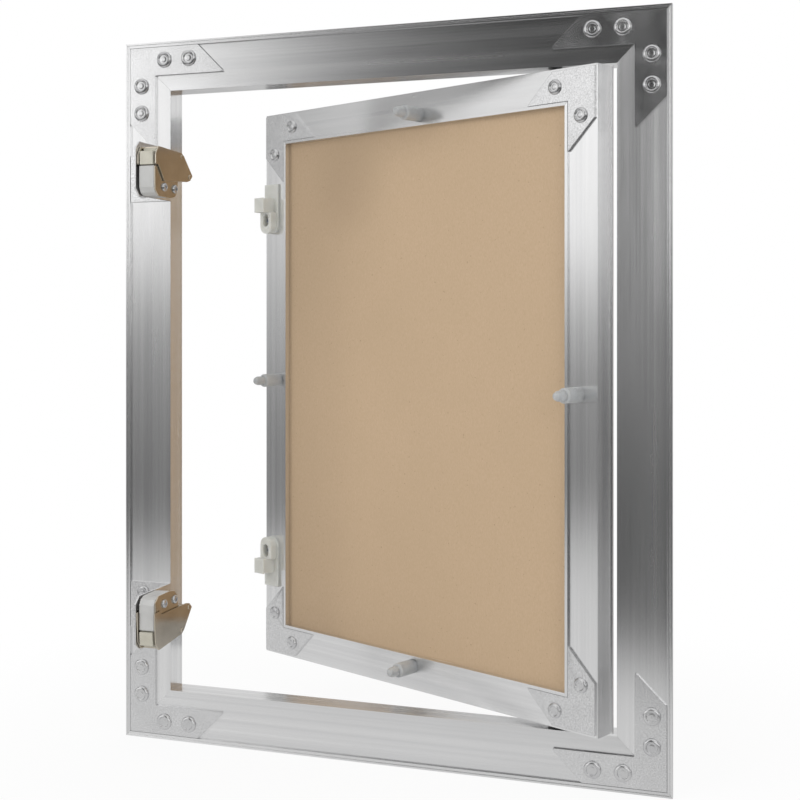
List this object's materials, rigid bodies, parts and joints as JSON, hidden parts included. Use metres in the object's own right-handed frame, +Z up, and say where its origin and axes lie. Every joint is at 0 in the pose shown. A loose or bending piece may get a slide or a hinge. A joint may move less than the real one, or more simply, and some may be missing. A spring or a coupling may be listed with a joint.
{
  "type": "drywall access panel",
  "caption": "Hinged access panel for a plasterboard wall: aluminium flanged frame, plasterboard-filled door, touch latches, strikers and inset pivot pins.",
  "frame": {"origin": "centre of the wall cut-out, in the plane where the back of the wall board lies on the flange", "axes": "+Y through the wall towards the room, +Z up, +X towards the hinge side, seen from behind the wall"},
  "size_m": [0.352, 0.1626, 0.452],
  "materials": {
    "aluminium_plate": "matt rolled sheet",
    "black_bush_plastic": "moulded",
    "cream_plastic": "moulded, slightly glossy",
    "grey_plastic": "moulded, slightly glossy",
    "kraft_lined_plasterboard": null,
    "mill_aluminium_profile": "extruded mill finish with fine lengthwise lines",
    "plated_steel": "bright nickel-like plating",
    "rivet_aluminium": "satin, pressed",
    "spring_steel": "bare",
    "white_cap_plastic": "milky, slightly translucent",
    "zinc_screw": "zinc plated"
  },
  "bodies": {
    "frame": {"frame_corner_rivets": "rivet_aluminium", "frame_head_profile": "mill_aluminium_profile", "frame_hinge_side_profile": "mill_aluminium_profile", "frame_latch_side_profile": "mill_aluminium_profile", "frame_lower_hinge_side_corner_plate": "aluminium_plate", "frame_lower_latch_side_corner_plate": "aluminium_plate", "frame_sill_profile": "mill_aluminium_profile", "frame_upper_hinge_side_corner_plate": "aluminium_plate", "frame_upper_latch_side_corner_plate": "aluminium_plate", "lower_hinge_pin": "zinc_screw", "lower_latch_bracket": "aluminium_plate", "lower_latch_bracket_rivets": "rivet_aluminium", "lower_latch_housing": "grey_plastic", "lower_latch_pivot_pin": "plated_steel", "lower_latch_screws": "zinc_screw", "lower_latch_side_plate": "plated_steel", "lower_latch_spring": "spring_steel", "upper_hinge_pin": "zinc_screw", "upper_latch_bracket": "aluminium_plate", "upper_latch_bracket_rivets": "rivet_aluminium", "upper_latch_housing": "grey_plastic", "upper_latch_pivot_pin": "plated_steel", "upper_latch_screws": "zinc_screw", "upper_latch_side_plate": "plated_steel", "upper_latch_spring": "spring_steel"},
    "hinge_bushes": {"lower_hinge_bush": "black_bush_plastic", "upper_hinge_bush": "black_bush_plastic"},
    "door": {"door_board_screws": "zinc_screw", "door_corner_rivets": "rivet_aluminium", "door_head_profile": "mill_aluminium_profile", "door_hinge_side_profile": "mill_aluminium_profile", "door_latch_side_profile": "mill_aluminium_profile", "door_lower_hinge_side_corner_plate": "aluminium_plate", "door_lower_latch_side_corner_plate": "aluminium_plate", "door_plasterboard": "kraft_lined_plasterboard", "door_sill_profile": "mill_aluminium_profile", "door_upper_hinge_side_corner_plate": "aluminium_plate", "door_upper_latch_side_corner_plate": "aluminium_plate", "head_screw_tip_cap": "white_cap_plastic", "hinge_side_screw_tip_cap": "white_cap_plastic", "latch_side_screw_tip_cap": "white_cap_plastic", "lower_striker": "cream_plastic", "lower_striker_screw": "zinc_screw", "sill_screw_tip_cap": "white_cap_plastic", "upper_striker": "cream_plastic", "upper_striker_screw": "zinc_screw"},
    "upper_latch_arm": {"upper_latch_arm_block": "cream_plastic", "upper_latch_arm_channel": "plated_steel", "upper_latch_catch_pin": "plated_steel"},
    "lower_latch_arm": {"lower_latch_arm_block": "cream_plastic", "lower_latch_arm_channel": "plated_steel", "lower_latch_catch_pin": "plated_steel"}
  },
  "joints": [
    {"name": "door_swing", "type": "hinge", "parent": "frame", "child": "hinge_bushes", "pos_m": [0.1065, 0.0073, 0], "axis": [0, 0, -1], "range_deg": [-21.9, 65.5]},
    {"name": "door_press_home", "type": "hinge", "parent": "hinge_bushes", "child": "door", "pos_m": [0.1065, 0.0073, 0], "axis": [0, 0, -1], "range_deg": [-2.6, 0], "stiffness_Nm_per_rad": 4, "springref_deg": 1.15},
    {"name": "upper_latch_arm_swing", "type": "hinge", "parent": "frame", "child": "upper_latch_arm", "pos_m": [-0.1379, -0.0114, 0.1497], "axis": [1, 0, 0], "range_deg": [-41.75, 0]},
    {"name": "lower_latch_arm_swing", "type": "hinge", "parent": "frame", "child": "lower_latch_arm", "pos_m": [-0.1379, -0.0114, -0.1519], "axis": [-1, 0, 0], "range_deg": [-37.25, 0]}
  ],
  "couplings": [
    {"joint": "upper_latch_arm_swing", "follows": "door_press_home", "ratio": 16.038},
    {"joint": "lower_latch_arm_swing", "follows": "door_press_home", "ratio": 14.308}
  ]
}
